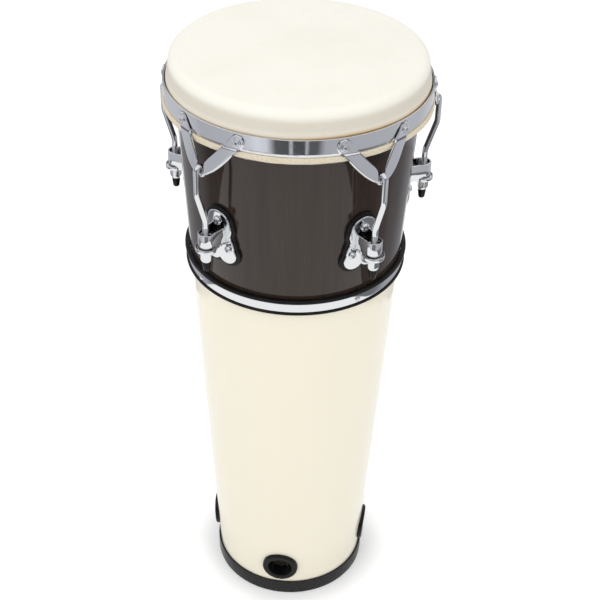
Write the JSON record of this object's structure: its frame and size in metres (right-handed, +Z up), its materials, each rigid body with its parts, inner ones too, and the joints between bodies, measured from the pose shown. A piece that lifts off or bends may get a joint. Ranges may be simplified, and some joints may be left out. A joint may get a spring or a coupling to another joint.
{
  "type": "conga drum",
  "caption": "Tall tapered hand drum with a tucked skin head, a tuning hoop on hooked rods, stamped lugs, a banded two-part shell and a rubber foot ring.",
  "frame": {"origin": "centre of the bounding box at floor level", "axes": "+Z up along the drum, +Y towards the rear tuning station, +X to the right seen from the front"},
  "size_m": [0.3262, 0.3232, 0.7625],
  "materials": {
    "brown_lacquer": "high gloss lacquer over vertical grain",
    "ivory_lacquer": "high gloss opaque lacquer",
    "chrome": "polished",
    "black_rubber": "satin",
    "skin": "matte natural rawhide",
    "steel": "plain zinc plate"
  },
  "bodies": {
    "drum_body": {"upper_shell": "brown_lacquer", "lower_shell": "ivory_lacquer", "joint_band": "chrome", "upper_trim": "black_rubber", "lower_trim": "black_rubber", "foot_ring": "black_rubber", "drum_head": "skin", "flesh_hoop": "steel", "port_grommet_0": "black_rubber", "port_grommet_1": "black_rubber", "port_grommet_2": "black_rubber", "port_grommet_3": "black_rubber", "lug_gasket_0": "black_rubber", "lug_bracket_0": "chrome", "lug_bolt_top_0": "chrome", "lug_bolt_left_0": "chrome", "lug_bolt_right_0": "chrome", "lug_gasket_1": "black_rubber", "lug_bracket_1": "chrome", "lug_bolt_top_1": "chrome", "lug_bolt_left_1": "chrome", "lug_bolt_right_1": "chrome", "lug_gasket_2": "black_rubber", "lug_bracket_2": "chrome", "lug_bolt_top_2": "chrome", "lug_bolt_left_2": "chrome", "lug_bolt_right_2": "chrome", "lug_gasket_3": "black_rubber", "lug_bracket_3": "chrome", "lug_bolt_top_3": "chrome", "lug_bolt_left_3": "chrome", "lug_bolt_right_3": "chrome", "lug_gasket_4": "black_rubber", "lug_bracket_4": "chrome", "lug_bolt_top_4": "chrome", "lug_bolt_left_4": "chrome", "lug_bolt_right_4": "chrome"},
    "tuning_assembly": {"tuning_hoop": "chrome", "hoop_strap_0": "chrome", "hoop_strap_1": "chrome", "hoop_strap_2": "chrome", "hoop_strap_3": "chrome", "hoop_strap_4": "chrome", "tuning_rod_0": "chrome", "tuning_rod_1": "chrome", "tuning_rod_2": "chrome", "tuning_rod_3": "chrome", "tuning_rod_4": "chrome"},
    "tuner_0": {"tuning_nut_0": "chrome", "rod_cap_0": "black_rubber"},
    "tuner_1": {"tuning_nut_1": "chrome", "rod_cap_1": "black_rubber"},
    "tuner_2": {"tuning_nut_2": "chrome", "rod_cap_2": "black_rubber"},
    "tuner_3": {"tuning_nut_3": "chrome", "rod_cap_3": "black_rubber"},
    "tuner_4": {"tuning_nut_4": "chrome", "rod_cap_4": "black_rubber"}
  },
  "joints": [
    {"name": "hoop_slide", "type": "slide", "parent": "drum_body", "child": "tuning_assembly", "axis": [0, 0, 1], "range_m": [0, 0.008]},
    {"name": "nut_spin_0", "type": "hinge", "parent": "drum_body", "child": "tuner_0", "pos_m": [0, 0.1461, 0.579], "axis": [0, 0, 1], "range_deg": [-2880, 0]},
    {"name": "nut_spin_1", "type": "hinge", "parent": "drum_body", "child": "tuner_1", "pos_m": [-0.14836, 0.03831, 0.579], "axis": [0, 0, 1], "range_deg": [-2880, 0]},
    {"name": "nut_spin_2", "type": "hinge", "parent": "drum_body", "child": "tuner_2", "pos_m": [-0.09169, -0.13611, 0.579], "axis": [0, 0, 1], "range_deg": [-2880, 0]},
    {"name": "nut_spin_3", "type": "hinge", "parent": "drum_body", "child": "tuner_3", "pos_m": [0.09169, -0.13611, 0.579], "axis": [0, 0, 1], "range_deg": [-2880, 0]},
    {"name": "nut_spin_4", "type": "hinge", "parent": "drum_body", "child": "tuner_4", "pos_m": [0.14836, 0.03831, 0.579], "axis": [0, 0, 1], "range_deg": [-2880, 0]}
  ],
  "couplings": [
    {"joint": "nut_spin_0", "follows": "hoop_slide", "rad_per_m": -6283.2},
    {"joint": "nut_spin_1", "follows": "hoop_slide", "rad_per_m": -6283.2},
    {"joint": "nut_spin_2", "follows": "hoop_slide", "rad_per_m": -6283.2},
    {"joint": "nut_spin_3", "follows": "hoop_slide", "rad_per_m": -6283.2},
    {"joint": "nut_spin_4", "follows": "hoop_slide", "rad_per_m": -6283.2}
  ]
}
